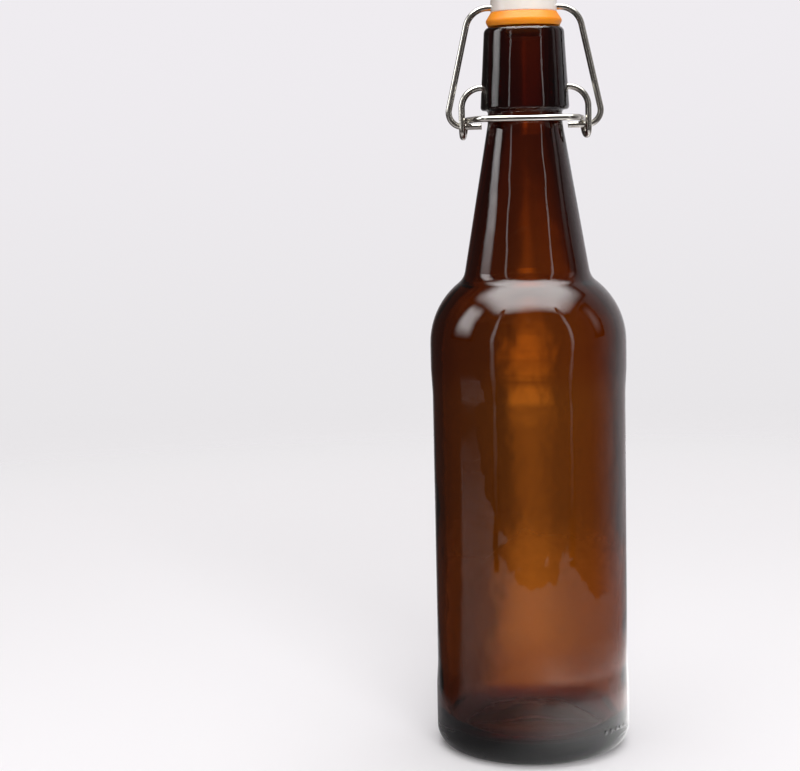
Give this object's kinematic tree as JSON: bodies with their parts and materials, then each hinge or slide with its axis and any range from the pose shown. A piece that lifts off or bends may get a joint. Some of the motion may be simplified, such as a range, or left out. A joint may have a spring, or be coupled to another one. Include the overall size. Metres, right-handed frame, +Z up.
{
  "type": "swing top bottle",
  "caption": "Amber glass bottle with a tapered neck and thick collar, closed by a domed stopper with a rubber gasket that a wire bail and a toggle lever pull down on the mouth.",
  "frame": {"origin": "centre of the base on the plane it stands on", "axes": "+Z up the bottle's axis, X along the closure's hinges, -Y towards the lever's handle at the front"},
  "size_m": [0.07, 0.07, 0.275],
  "materials": {
    "amber_glass": "clear amber bottle glass, glossy",
    "lever_steel": "bright drawn steel wire",
    "bail_steel": "bright drawn steel wire",
    "white_plastic": "glossy moulded white",
    "orange_rubber": "smooth orange rubber"
  },
  "bodies": {
    "bottle": {"glass_bottle": "amber_glass"},
    "lever": {"lever_wire": "lever_steel"},
    "bail": {"bail_wire": "bail_steel"},
    "closure": {"stopper": "white_plastic", "sealing_gasket": "orange_rubber"}
  },
  "joints": [
    {"name": "lever_pivot", "type": "hinge", "parent": "bottle", "child": "lever", "pos_m": [0, 0, 0.2371], "axis": [-1, 0, 0], "range_deg": [0, 68]},
    {"name": "bail_hinge", "type": "hinge", "parent": "lever", "child": "bail", "pos_m": [0, 0.001, 0.22367], "axis": [-1, 0, 0], "range_deg": [-46.3, 0]},
    {"name": "stopper_hinge", "type": "hinge", "parent": "bail", "child": "closure", "pos_m": [0, 0, 0.2647], "axis": [-1, 0, 0], "range_deg": [-21.8, 0]}
  ],
  "couplings": [
    {"joint": "bail_hinge", "follows": "lever_pivot", "ratio": -0.68},
    {"joint": "stopper_hinge", "follows": "lever_pivot", "ratio": -0.32}
  ]
}
